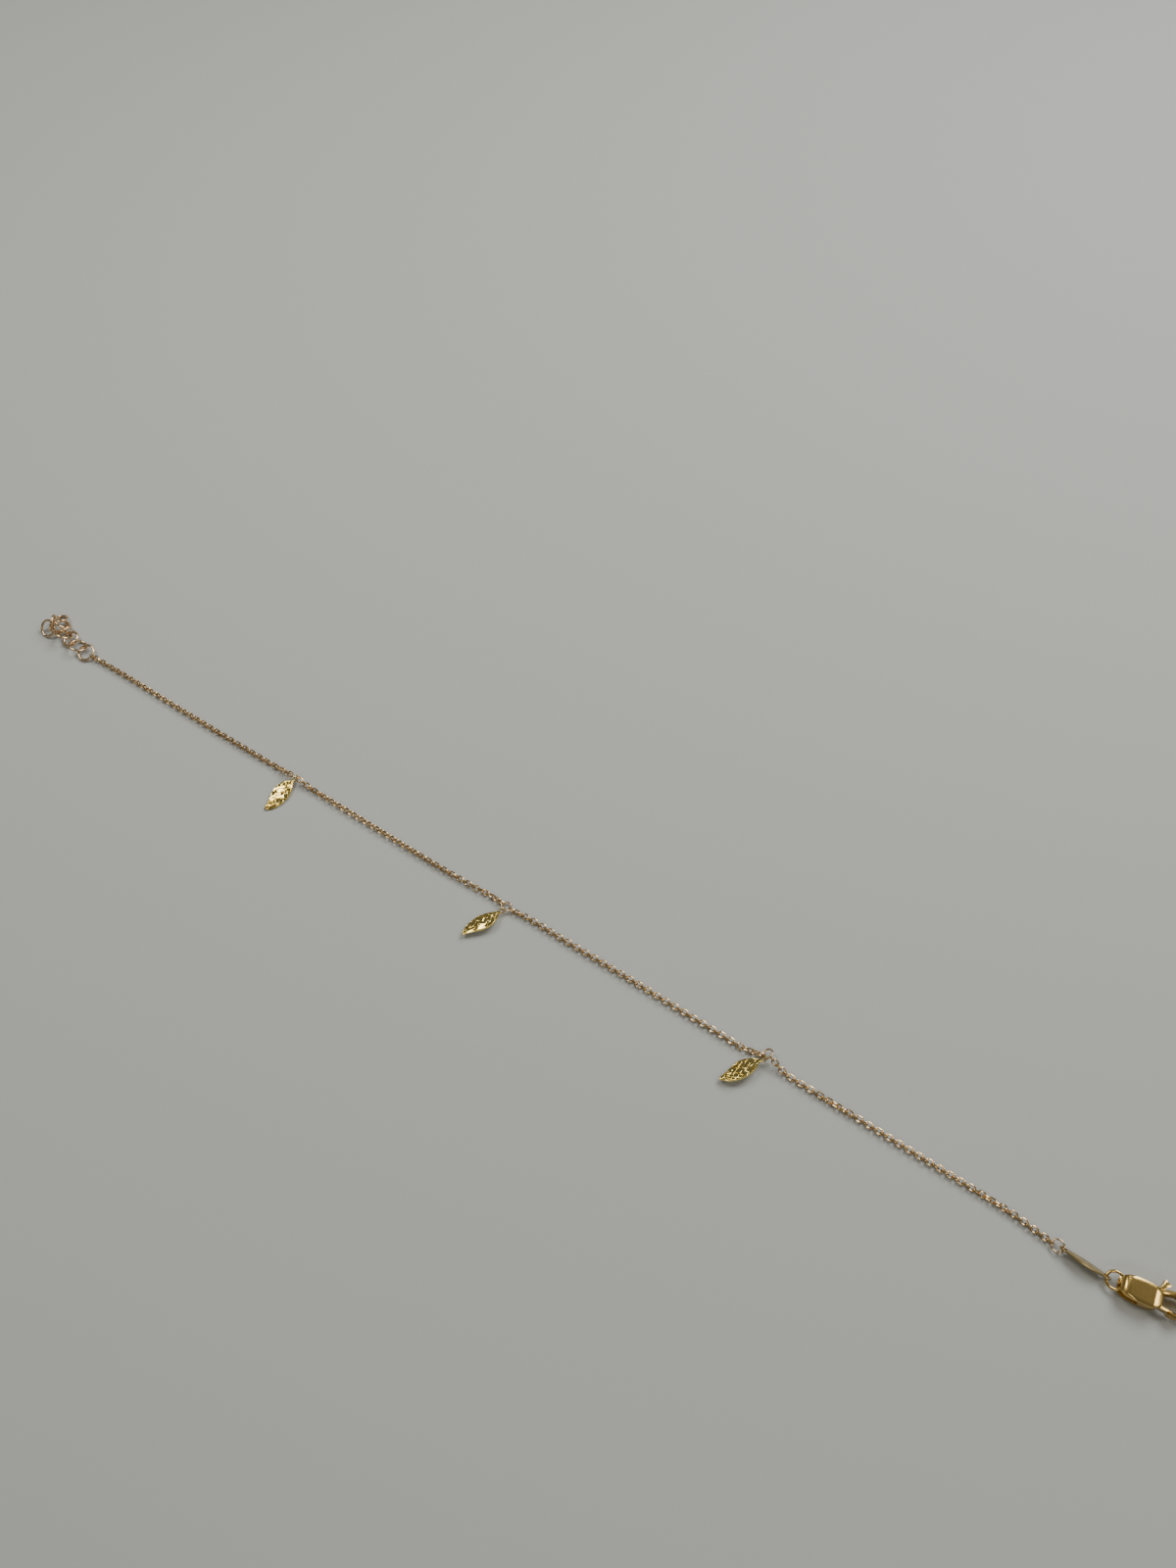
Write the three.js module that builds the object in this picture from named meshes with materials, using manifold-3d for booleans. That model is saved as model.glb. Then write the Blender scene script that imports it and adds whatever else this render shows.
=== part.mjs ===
// Chain anklet in yellow gold, lying open on a flat surface.
// Units are millimetres and +Z is up. Every piece is first placed in a laying frame: +X runs along
// the chain from the extender to the clasp, and z = 0 is the surface. At the end the whole anklet is
// shifted so that its origin is the bottom centre of its bounding box.

import * as THREE from 'three';
import { mergeVertices } from 'three/addons/utils/BufferGeometryUtils.js';
import Module from 'manifold-3d';

const wasm = await Module();
wasm.setup();

// Driving dimensions

// Main chain: four stretches of fine cable chain, each a plain round rope with a real end link.
const CHAIN_DIAMETER = 1.0;
const CHAIN_SIDES = 8;
const CHAIN_STEP = 3.2;
const END_LINK_LENGTH = 1.45;
const END_LINK_WIDTH = 1.17;
const END_LINK_WIRE = 0.27;
// An end link's tip lies this many of its own wires past the middle of the ring's wire.
const END_LINK_GRIP = 1.25;
const END_LINK_SIDES = 12;

// Where the jump rings lie along the laying frame, and how far across
const LEAF_RING_ALONG = [53.75, 103.65, 156.85];
const LEAF_RING_ACROSS = [0.13, 0.28, 1.85];
const TAG_RING_ALONG = 209.85;
const TAG_RING_ACROSS = -0.3;

// Extender rings
const EXTENDER_OUTER = 3.8;
const EXTENDER_WIRE = 0.5;

// Jump rings that carry the leaves and the left end of the tag
const JUMP_OUTER = 2.28;
const JUMP_WIRE = 0.32;

// Heavier ring between tag and clasp
const CLASP_RING_OUTER = 3.1;
const CLASP_RING_WIRE = 0.48;

const RING_SIDES = 16;
const RING_WIRE_SIDES = 6;

// Leaf charm: crowned diamond-cut plate with an eye on edge at its top
const LEAF_LENGTH = 7.7;
const LEAF_WIDTH = 3.5;
const LEAF_THICKNESS = 0.4;
const LEAF_CROWN = 0.4;
const LEAF_ROWS = 13;
const LEAF_COLUMNS = 8;
const FACET_RELIEF = 0.09;
const LEAF_EYE_OUTER = 1.34;
const LEAF_EYE_WIRE = 0.25;
const LEAF_EYE_SIDES = 12;
const LEAF_STEM_LENGTH = 0.08;
const LEAF_STEM_WIDTH = 0.5;
// A leaf's tip can rise or sink between these angles until the leaf rests.
const LEAF_DIPS = [-4, 14];

// Tag: slim oval plate with a hole at each end, leaning with its near edge up
const TAG_LENGTH = 8.4;
const TAG_WIDTH = 2.3;
const TAG_THICKNESS = 0.33;
const TAG_HOLE = 0.92;
const TAG_HOLE_WALL = 0.26;
const TAG_LEAN = 56;
const TAG_HEADING = -1.6;

// Lobster clasp, lying on its broad underside. Shares are of the body's length or width.
const CLASP_HEADING = 7;
const CLASP_THICKNESS = 3.0;
const BODY_LENGTH = 6.5;
const BODY_WIDTH = 3.7;
const BODY_FULLEST = 0.6;
const DOME_REACH = 0.7;
const DOME_RISE = 0.74;
const SLOT_HEIGHT = 1.3;
const SLOT_END = 1.02;
const TAIL_POST = 0.32;
const TAIL_WALL = 0.12;
// The post is set this deep in the cheeks, which are thin at the tail.
const TAIL_POST_SUNK = 0.06;
// The spring's wall is set this deep in the cheeks.
const SPRING_WALL_SUNK = 0.25;
// Cuts start this far outside the metal.
const CUT_PAST = 1;
const SPRING_WALL = { start: 0.36, end: 0.56, inside: 0.33 };
const HOOK_OUTER = 4.0;
const HOOK_ARM = 0.8;
// The arm starts inside the body: shares of the body's length and of the hook's radius.
const HOOK_ARM_START = [{ along: 0.8, across: 0.6 }, { along: 1.0, across: 0.88 }];
// Then it runs round the hook through these angles.
const HOOK_ARM_ANGLES = [110, 90, 60, 30, 0, -30, -60, -90];
const HOOK_ARM_EDGE = 0.22;
const HOOK_THICKNESS = 1.9;
const HOOK_REACH = 0.5;
const HOOK_ASIDE = 0.35;
const HOOK_STEPS = 30;
const GATE_SPLIT_ANGLE = 240;
const GATE_WIDTH = 0.6;
const GATE_GAP = 0.1;
const GATE_START = { along: 0.9, across: -0.2 };
const LEVER_CLEARANCE = 0.08;
const LEVER_ROOT = 1.7;
const LEVER_BACK = { start: 0.5, end: 0.94, deep: 0.5 };
const TAB_START = { along: 0.91, across: 0.42 };
// The tab starts to flare at this share of its length.
const TAB_WAIST = 0.55;
const TAB_LENGTH = 1.85;
const TAB_DIRECTION = 58;
const TAB_WIDTH = 0.7;
const TAB_FLARE = 1.1;
const PIN_PLACE = { along: 0.74, across: 0.06 };
const PIN_DIAMETER = 0.55;
const PIN_CLEARANCE = 0.04;
const PIN_RECESS = 0.05;
const PIN_BLIND_DEPTH = 0.35;

// Clearances: least air between two pieces that touch on the real anklet, and under what rests
const LINK_CLEARANCE = 0.06;
const REST_GAP = 0.05;

// Materials

const gold = (name, color, roughness) =>
  new THREE.MeshStandardMaterial({ name, color, metalness: 1, roughness });

const materials = {
  chain: gold('rosy gold of the cable chain', 0xb89468, 0.3),
  ring: gold('polished gold wire of the rings', 0xbfa46e, 0.25),
  leaf: gold('diamond-cut gold of the leaves', 0xb39a55, 0.22),
  tag: gold('satin gold of the tag', 0xa3936a, 0.45),
  clasp: gold('polished gold of the clasp', 0xb99a4e, 0.2),
};

// Helpers

const radians = (degrees) => THREE.MathUtils.degToRad(degrees);

// A closed geometry becomes a solid that can be joined and cut.
function solid(geometry) {
  const bare = geometry.clone();
  for (const name of Object.keys(bare.attributes)) {
    if (name !== 'position') bare.deleteAttribute(name);
  }
  const merged = mergeVertices(bare, 1e-5);
  return new wasm.Manifold(new wasm.Mesh({
    numProp: 3,
    vertProperties: new Float32Array(merged.attributes.position.array),
    triVerts: new Uint32Array(merged.index.array),
  }));
}

function geometryOf(body) {
  const mesh = body.getMesh();
  const geometry = new THREE.BufferGeometry();
  geometry.setAttribute('position', new THREE.BufferAttribute(new Float32Array(mesh.vertProperties), 3));
  geometry.setIndex(new THREE.BufferAttribute(new Uint32Array(mesh.triVerts), 1));
  return geometry;
}

function named(name, geometry, material) {
  const mesh = new THREE.Mesh(geometry, material);
  mesh.name = name;
  return mesh;
}

// A flat outline given by corners, raised from one height to another.
function slab(corners, bottom, top) {
  const shape = new THREE.Shape(corners.map(([x, y]) => new THREE.Vector2(x, y)));
  const geometry = new THREE.ExtrudeGeometry(shape, { depth: top - bottom, bevelEnabled: false });
  return geometry.translate(0, 0, bottom);
}

function upright(radius, x, y, bottom, top, sides = 16) {
  const geometry = new THREE.CylinderGeometry(radius, radius, top - bottom, sides);
  return geometry.rotateX(Math.PI / 2).translate(x, y, (bottom + top) / 2);
}

// A turn by pitch about Y, then roll about X, then heading about Z.
function turned({ roll = 0, pitch = 0, heading = 0 }) {
  const euler = new THREE.Euler(radians(roll), radians(pitch), radians(heading), 'ZXY');
  return new THREE.Quaternion().setFromEuler(euler);
}

// Rings of round wire. A pose holds the middle of the ring and its pitch and roll.

const wireRadius = (ring) => (ring.outer - ring.wire) / 2;

function ringMesh(name, ring, pose) {
  const torus = new THREE.TorusGeometry(wireRadius(ring), ring.wire / 2, RING_WIRE_SIDES, RING_SIDES);
  const mesh = named(name, torus, materials.ring);
  mesh.position.copy(pose.middle);
  mesh.quaternion.copy(turned(pose));
  return mesh;
}

// The middle of a placed ring's wire at an angle round the ring, from its +X side towards +Y, and
// the direction of the wire there.
function ringPoint(ring, pose, degrees) {
  const angle = radians(degrees);
  const turn = turned(pose);
  const point = new THREE.Vector3(Math.cos(angle), Math.sin(angle), 0)
    .multiplyScalar(wireRadius(ring)).applyQuaternion(turn).add(pose.middle);
  const wire = new THREE.Vector3(-Math.sin(angle), Math.cos(angle), 0).applyQuaternion(turn);
  return { point, wire };
}

// A ring whose -X side and +X side are each held at a given height.
function spanningPose(ring, x, y, leftHeight, rightHeight, roll) {
  const pitch = -THREE.MathUtils.radToDeg(Math.asin((rightHeight - leftHeight) / (2 * wireRadius(ring))));
  return { middle: new THREE.Vector3(x, y, (leftHeight + rightHeight) / 2), pitch, roll };
}

// Extender: nine rings, bunched up towards the free end. Places are shares of the ring's wire
// radius, counted from the chain's first link; the pile is chosen by hand.

const extenderRing = { outer: EXTENDER_OUTER, wire: EXTENDER_WIRE };
const extenderTable = [
  { along: -1.36, across: -0.02, lift: 0.50, tilt: 16, high: 90 },
  { along: -2.92, across: 0.16, lift: 0.60, tilt: 25, high: -102 },
  { along: -4.52, across: 0.44, lift: 0.52, tilt: 20, high: 62 },
  { along: -5.51, across: 0.36, lift: 0.82, tilt: 40, high: -90 },
  { along: -6.13, across: 0.90, lift: 0.82, tilt: 40, high: 0 },
  { along: -6.78, across: 1.47, lift: 0.94, tilt: 50, high: -105 },
  { along: -7.92, across: 1.85, lift: 0.68, tilt: 30, high: -45 },
  { along: -7.78, across: 0.82, lift: 1.12, tilt: 70, high: 30 },
  { along: -7.92, across: -0.01, lift: 0.82, tilt: 40, high: 90 },
];

const extenderPoses = extenderTable.map((row) => ({
  pitch: -row.tilt,
  heading: row.high,
  middle: new THREE.Vector3(row.along, row.across, row.lift).multiplyScalar(wireRadius(extenderRing)),
}));

// Jump rings. The end links of the chain hold them at this height.

const jumpRing = { outer: JUMP_OUTER, wire: JUMP_WIRE };
const claspRing = { outer: CLASP_RING_OUTER, wire: CLASP_RING_WIRE };
const linkLift = END_LINK_WIDTH / 2 + REST_GAP;

const leafRingTable = [
  { roll: -70, pitch: 0, lift: 1.06, left: 153, right: 27, leaf: 90 },
  { roll: -14, pitch: 0, lift: 0.03, left: 166, right: -4, leaf: 268 },
  { roll: 0, pitch: -42, lift: 0.62, left: 205, right: -26, leaf: 266 },
];

const leafRingPoses = leafRingTable.map((row, index) => ({
  ...row,
  middle: new THREE.Vector3(LEAF_RING_ALONG[index], LEAF_RING_ACROSS[index], linkLift + row.lift),
}));

// Both rings that hold the tag lean with their far side up, to follow its holes.
const TAG_RING_ROLL = 12;

// The leaning tag rests on its far edge, and its middle line has this height.
const tagLift = TAG_WIDTH / 2 * Math.sin(radians(TAG_LEAN))
  + TAG_THICKNESS / 2 * Math.cos(radians(TAG_LEAN)) + REST_GAP;
const tagRingPose = spanningPose(jumpRing, TAG_RING_ALONG, TAG_RING_ACROSS, linkLift, tagLift, TAG_RING_ROLL);

const tagHoleInset = TAG_HOLE_WALL + TAG_HOLE / 2;
const tagSpan = TAG_LENGTH - 2 * tagHoleInset;
const tagStart = ringPoint(jumpRing, tagRingPose, 0).point;
const tagEnd = new THREE.Vector3(tagSpan, 0, 0).applyQuaternion(turned({ heading: TAG_HEADING })).add(tagStart);

// The tag holds the heavier ring a little on the near side of the ring's middle.
const CLASP_RING_HOLD = 190;
const CLASP_RING_ROLL = 15;
const claspMidHeight = CLASP_THICKNESS / 2;
const claspRingPose = spanningPose(claspRing, 0, 0, tagLift, claspMidHeight, CLASP_RING_ROLL);
claspRingPose.middle.set(0, 0, 0);
claspRingPose.middle = tagEnd.clone().sub(ringPoint(claspRing, claspRingPose, CLASP_RING_HOLD).point);

// The tail of the clasp starts where its post has the ring's far side behind it.
const claspTurn = turned({ heading: CLASP_HEADING });
const tailPostInset = TAIL_WALL + TAIL_POST / 2;
const ringFarSide = ringPoint(claspRing, claspRingPose, 0).point;
const postToRing = TAIL_POST / 2 + CLASP_RING_WIRE / 2 + 2 * LINK_CLEARANCE;
const claspPlace = new THREE.Vector3(ringFarSide.x - postToRing - tailPostInset, ringFarSide.y, 0);

// Chain

// A small oval link of round wire, long along its own +X, in the plane XY.
function endLink() {
  const radius = (END_LINK_WIDTH - END_LINK_WIRE) / 2;
  const stretch = END_LINK_LENGTH / END_LINK_WIDTH;
  const torus = new THREE.TorusGeometry(radius, END_LINK_WIRE / 2, RING_WIRE_SIDES, END_LINK_SIDES);
  return torus.scale(stretch, 1, 1);
}

// Where an end link sits: its middle, its way towards the ring, and its turn. The ring's wire
// passes through it, so the link's plane stands across that wire.
function endLinkPlace(ring, pose, degrees, inward) {
  const { point, wire } = ringPoint(ring, pose, degrees);
  const reach = END_LINK_LENGTH / 2 - END_LINK_WIRE * END_LINK_GRIP - ring.wire / 2 - LINK_CLEARANCE;
  const outward = point.clone().sub(inward).normalize();
  const middle = point.clone().addScaledVector(outward, -Math.max(reach, 0));
  const across = wire.clone().addScaledVector(outward, -wire.dot(outward)).normalize();
  const side = new THREE.Vector3().crossVectors(across, outward);
  const turn = new THREE.Matrix4().makeBasis(outward, side, across);
  turn.setPosition(middle);
  const tail = middle.clone().addScaledVector(outward, END_LINK_WIRE / 2 - END_LINK_LENGTH / 2);
  return { turn, tail };
}

// Middle of the chain between the end links, chosen by hand: [along, across] at rest on the surface.
const chainLift = CHAIN_DIAMETER / 2 + REST_GAP;
const chainRoutes = [
  [[3, 0.1], [9, 0.2], [18, 0.18], [27, 0.16], [36, 0.15], [44, 0.23], [49, 0.34]],
  [[58, 0.22], [65, 0.2], [73, 0.19], [88, 0.17], [95, 0.33], [100, 0.56]],
  [[108, 0.56], [115, 0.58], [121, 0.63], [130, 0.7], [140, 0.67], [148, 0.68], [153, 0.75]],
  [[161, 0.7], [166, 0.6], [175, 0.57], [182, 0.55], [190, 0.53], [198, 0.5], [203, 0.33], [206.5, -0.05]],
];

// The two rings that each stretch hangs between, and the angle at which it holds each of them.
const chainEnds = [
  [{ ring: extenderRing, pose: extenderPoses[0], angle: -extenderTable[0].high },
    { ring: jumpRing, pose: leafRingPoses[0], angle: leafRingTable[0].left }],
  [{ ring: jumpRing, pose: leafRingPoses[0], angle: leafRingTable[0].right },
    { ring: jumpRing, pose: leafRingPoses[1], angle: leafRingTable[1].left }],
  [{ ring: jumpRing, pose: leafRingPoses[1], angle: leafRingTable[1].right },
    { ring: jumpRing, pose: leafRingPoses[2], angle: leafRingTable[2].left }],
  [{ ring: jumpRing, pose: leafRingPoses[2], angle: leafRingTable[2].right },
    { ring: jumpRing, pose: tagRingPose, angle: 180 }],
];

function chainStretch(name, route, ends) {
  const points = route.map(([x, y]) => new THREE.Vector3(x, y, chainLift));
  const first = endLinkPlace(ends[0].ring, ends[0].pose, ends[0].angle, points[0]);
  const last = endLinkPlace(ends[1].ring, ends[1].pose, ends[1].angle, points[points.length - 1]);
  const path = new THREE.CatmullRomCurve3([first.tail, ...points, last.tail], false, 'centripetal');
  const section = new THREE.Shape(Array.from({ length: CHAIN_SIDES }, (_, side) => {
    const angle = (side + 0.5) / CHAIN_SIDES * 2 * Math.PI;
    return new THREE.Vector2(Math.cos(angle), Math.sin(angle)).multiplyScalar(CHAIN_DIAMETER / 2);
  }));
  const steps = Math.round(path.getLength() / CHAIN_STEP);
  const rope = new THREE.ExtrudeGeometry(section, { steps, extrudePath: path });
  const body = solid(rope)
    .add(solid(endLink().applyMatrix4(first.turn)))
    .add(solid(endLink().applyMatrix4(last.turn)));
  return named(name, geometryOf(body), materials.chain);
}

// Leaf charm. Its own frame has the middle of the eye at the origin, the tip towards -Y and the
// crowned face towards +Z. Widths are shares of half the leaf's width, on its full and hollow side.

const leafTable = [
  { along: 0.00, full: 0.10, hollow: 0.10 },
  { along: 0.08, full: 0.36, hollow: 0.44 },
  { along: 0.20, full: 0.70, hollow: 0.80 },
  { along: 0.35, full: 0.96, hollow: 1.00 },
  { along: 0.50, full: 1.04, hollow: 0.93 },
  { along: 0.65, full: 0.98, hollow: 0.66 },
  { along: 0.80, full: 0.78, hollow: 0.36 },
  { along: 0.90, full: 0.54, hollow: 0.24 },
  { along: 1.00, full: 0.10, hollow: 0.06 },
];

function leafShare(column, along) {
  const after = Math.max(1, leafTable.findIndex((row) => row.along >= along));
  const [low, high] = [leafTable[after - 1], leafTable[after]];
  const share = (along - low.along) / (high.along - low.along);
  return THREE.MathUtils.lerp(low[column], high[column], share);
}

// The face is a lattice of ridges with a pit in each diamond, and the back is smooth.
function leafPoint(row, column, face) {
  const along = row / LEAF_ROWS;
  const across = 2 * column / LEAF_COLUMNS - 1;
  const half = LEAF_WIDTH / 2 * leafShare(across > 0 ? 'full' : 'hollow', along);
  const fullness = Math.min(1, leafShare('full', along));
  const rim = row === 0 || row === LEAF_ROWS || column === 0 || column === LEAF_COLUMNS;
  const relief = face && !rim ? FACET_RELIEF * ((row + column) % 2 ? -1 : 1) : 0;
  const crown = LEAF_CROWN * fullness * (1 - across * across);
  return [across * half, -along * LEAF_LENGTH, crown + relief + (face ? 0 : -LEAF_THICKNESS)];
}

function leafPlate(mirror) {
  const positions = [];
  const triangle = (...corners) => {
    const order = mirror ? [corners[0], corners[2], corners[1]] : corners;
    for (const [x, y, z] of order) positions.push(mirror ? -x : x, y, z);
  };
  const patch = (a, b, c, d) => {
    triangle(a, b, c);
    triangle(a, c, d);
  };
  for (let row = 0; row < LEAF_ROWS; row += 1) {
    for (let column = 0; column < LEAF_COLUMNS; column += 1) {
      const corners = (face) => [[row, column], [row + 1, column], [row + 1, column + 1], [row, column + 1]]
        .map(([r, c]) => leafPoint(r, c, face));
      const [a, b, c, d] = corners(true);
      if ((row + column) % 2) patch(b, c, d, a);
      else patch(a, b, c, d);
      const [e, f, g, h] = corners(false);
      patch(e, h, g, f);
    }
  }
  const wall = (r1, c1, r2, c2) => patch(
    leafPoint(r1, c1, true), leafPoint(r1, c1, false), leafPoint(r2, c2, false), leafPoint(r2, c2, true));
  for (let row = 0; row < LEAF_ROWS; row += 1) {
    wall(row, 0, row + 1, 0);
    wall(row + 1, LEAF_COLUMNS, row, LEAF_COLUMNS);
  }
  for (let column = 0; column < LEAF_COLUMNS; column += 1) {
    wall(0, column + 1, 0, column);
    wall(LEAF_ROWS, column, LEAF_ROWS, column + 1);
  }
  const geometry = new THREE.BufferGeometry();
  geometry.setAttribute('position', new THREE.Float32BufferAttribute(positions, 3));
  return geometry;
}

function leafGeometry(mirror) {
  const eyeRadius = (LEAF_EYE_OUTER - LEAF_EYE_WIRE) / 2;
  const eye = new THREE.TorusGeometry(eyeRadius, LEAF_EYE_WIRE / 2, RING_WIRE_SIDES, LEAF_EYE_SIDES)
    .rotateY(Math.PI / 2);
  const start = -(LEAF_EYE_OUTER / 2 + LEAF_STEM_LENGTH);
  const overlap = LEAF_LENGTH / LEAF_ROWS;
  const stemLength = overlap + LEAF_STEM_LENGTH + LEAF_EYE_WIRE / 2;
  const stem = new THREE.BoxGeometry(LEAF_STEM_WIDTH, stemLength, LEAF_THICKNESS)
    .translate(0, start - overlap + stemLength / 2, 0);
  const plate = leafPlate(mirror).translate(0, start, LEAF_THICKNESS / 2);
  return geometryOf(solid(plate).add(solid(stem)).add(solid(eye)));
}

// Heading turns the leaf's tip from -Y, and roll lifts its edge on the clasp's side.
const leafPoseTable = [
  { heading: -5, roll: 2, mirror: false },
  { heading: -23, roll: -22, mirror: true },
  { heading: -34, roll: -27, mirror: false },
];

function lowestPoint(geometry, turn, middle) {
  const matrix = new THREE.Matrix4().compose(middle, turn, new THREE.Vector3(1, 1, 1));
  const placed = geometry.clone().applyMatrix4(matrix);
  placed.computeBoundingBox();
  return placed.boundingBox.min.z;
}

// The eye hangs on its ring at a fixed height, and the leaf sinks about it until it rests.
function leafTurn({ heading, roll }, drop) {
  const order = new THREE.Quaternion().setFromAxisAngle(new THREE.Vector3(0, 0, 1), radians(heading));
  const dip = new THREE.Quaternion().setFromAxisAngle(new THREE.Vector3(1, 0, 0), radians(drop));
  const lean = new THREE.Quaternion().setFromAxisAngle(new THREE.Vector3(0, 1, 0), radians(roll));
  return order.multiply(dip).multiply(lean);
}

function leafMesh(name, index) {
  const row = leafPoseTable[index];
  const geometry = leafGeometry(row.mirror);
  const hold = ringPoint(jumpRing, leafRingPoses[index], leafRingTable[index].leaf).point;
  const play = LEAF_EYE_OUTER / 2 - LEAF_EYE_WIRE - JUMP_WIRE / 2 - LINK_CLEARANCE;
  const away = new THREE.Vector3(0, -1, 0).applyQuaternion(turned({ heading: row.heading }));
  const middle = hold.addScaledVector(away, play / 2);
  let [level, steep] = LEAF_DIPS;
  for (let halving = 0; halving < 24; halving += 1) {
    const drop = (level + steep) / 2;
    if (lowestPoint(geometry, leafTurn(row, drop), middle) > REST_GAP) level = drop;
    else steep = drop;
  }
  const mesh = named(name, geometry, materials.leaf);
  mesh.position.copy(middle);
  mesh.quaternion.copy(leafTurn(row, level));
  return mesh;
}

// Tag: an oval of two arcs. Its own frame has the left hole at the origin and +X along the plate.

function tagGeometry() {
  const half = TAG_LENGTH / 2;
  const rise = TAG_WIDTH / 2;
  const radius = (half * half + rise * rise) / (2 * rise);
  const sweep = Math.asin(half / radius);
  const blunt = TAG_HOLE / 2 + TAG_HOLE_WALL;
  const outline = new THREE.Shape();
  outline.absarc(0, rise - radius, radius, Math.PI / 2 - sweep, Math.PI / 2 + sweep, false);
  outline.absarc(0, radius - rise, radius, 1.5 * Math.PI - sweep, 1.5 * Math.PI + sweep, false);
  const extrusion = { depth: TAG_THICKNESS, bevelEnabled: false, curveSegments: 14 };
  const plate = solid(new THREE.ExtrudeGeometry(outline, extrusion).translate(0, 0, -TAG_THICKNESS / 2));
  let tag = plate;
  for (const side of [-1, 1]) {
    const x = side * (half - blunt);
    tag = tag.add(solid(upright(blunt, x, 0, -TAG_THICKNESS / 2, TAG_THICKNESS / 2)));
  }
  for (const side of [-1, 1]) {
    const x = side * (half - blunt);
    tag = tag.subtract(solid(upright(TAG_HOLE / 2, x, 0, -TAG_THICKNESS, TAG_THICKNESS)));
  }
  return geometryOf(tag).translate(half - blunt, 0, 0);
}

// Clasp. Its own frame has the tail's end at the origin, +X towards the hook and +Y towards the tab.

const hookRadius = (HOOK_OUTER - HOOK_ARM) / 2;
const hookMiddle = { x: BODY_LENGTH + HOOK_REACH * HOOK_OUTER, y: HOOK_ASIDE };
const pinPlace = { x: PIN_PLACE.along * BODY_LENGTH, y: PIN_PLACE.across * BODY_WIDTH };
const slotBottom = (CLASP_THICKNESS - SLOT_HEIGHT) / 2;
const slotTop = (CLASP_THICKNESS + SLOT_HEIGHT) / 2;
const leverBottom = slotBottom + LEVER_CLEARANCE;
const leverTop = slotTop - LEVER_CLEARANCE;

// Outline of the cheeks, from above: round at the tail and fullest past the middle.
function cheekOutline(inset = 0) {
  const [length, half] = [BODY_LENGTH - inset, BODY_WIDTH / 2 - inset];
  const fullest = BODY_FULLEST * BODY_LENGTH;
  const [tailPull, headPull] = [0.09 * BODY_LENGTH, 0.88 * BODY_LENGTH];
  const [tailRound, headRound] = [0.7 * half, 0.64 * half];
  const shape = new THREE.Shape();
  shape.moveTo(inset, 0);
  shape.bezierCurveTo(inset, -tailRound, tailPull, -half, fullest, -half);
  shape.bezierCurveTo(headPull, -half, length, -headRound, length, 0);
  shape.bezierCurveTo(length, headRound, headPull, half, fullest, half);
  shape.bezierCurveTo(tailPull, half, inset, tailRound, inset, 0);
  return shape;
}

// The body seen from the side, as heights from the middle plane: thin at the tail, full, and a
// little lower at the head. Places are shares of the length, heights of half the thickness.
const sideTable = [
  { along: -0.02, height: 0.30 },
  { along: 0.04, height: 0.50 },
  { along: 0.09, height: 0.70 },
  { along: 0.17, height: 0.89 },
  { along: 0.27, height: 1.00 },
  { along: 0.86, height: 1.00 },
  { along: 0.94, height: 0.88 },
  { along: 1.02, height: 0.66 },
];

function sideBlock() {
  const half = CLASP_THICKNESS / 2;
  const upper = sideTable.map((row) => [row.along * BODY_LENGTH, half + row.height * half]);
  const lower = sideTable.map((row) => [row.along * BODY_LENGTH, half - row.height * half]);
  const shape = new THREE.Shape([...lower, ...upper.reverse()].map(([x, z]) => new THREE.Vector2(x, z)));
  return new THREE.ExtrudeGeometry(shape, { depth: 2 * BODY_WIDTH, bevelEnabled: false })
    .rotateX(Math.PI / 2).translate(0, BODY_WIDTH, 0);
}

function cheekBlock() {
  const extrusion = {
    depth: CLASP_THICKNESS - 2 * DOME_RISE,
    bevelThickness: DOME_RISE,
    bevelSize: DOME_REACH,
    bevelSegments: 3,
    curveSegments: 8,
  };
  const block = new THREE.ExtrudeGeometry(cheekOutline(DOME_REACH), extrusion).translate(0, 0, DOME_RISE);
  return solid(block).intersect(solid(sideBlock()));
}

const hookPoint = (degrees) => new THREE.Vector3(
  hookMiddle.x + hookRadius * Math.cos(radians(degrees)),
  hookMiddle.y + hookRadius * Math.sin(radians(degrees)),
  CLASP_THICKNESS / 2);

// Half of the gap between the hook's tip and the gate, as an angle round the hook
const gateGapAngle = THREE.MathUtils.radToDeg(GATE_GAP / hookRadius) / 2;

// The fixed arm leaves the body on the tab's side and curls round to the gate's tip.
function hookArm() {
  const tip = GATE_SPLIT_ANGLE + gateGapAngle - 360;
  const path = new THREE.CatmullRomCurve3([
    ...HOOK_ARM_START.map(({ along, across }) => new THREE.Vector3(
      along * BODY_LENGTH, across * hookRadius, CLASP_THICKNESS / 2)),
    ...HOOK_ARM_ANGLES.map(hookPoint),
    hookPoint(tip),
  ], false, 'centripetal');
  const [high, wide] = [HOOK_THICKNESS / 2, HOOK_ARM / 2];
  const [highEdge, wideEdge] = [high - HOOK_ARM_EDGE, wide - HOOK_ARM_EDGE];
  const section = new THREE.Shape([
    [high, -wideEdge], [high, wideEdge], [highEdge, wide], [-highEdge, wide],
    [-high, wideEdge], [-high, -wideEdge], [-highEdge, -wide], [highEdge, -wide],
  ].map(([x, y]) => new THREE.Vector2(x, y)));
  return new THREE.ExtrudeGeometry(section, { steps: HOOK_STEPS, extrudePath: path });
}

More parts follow.
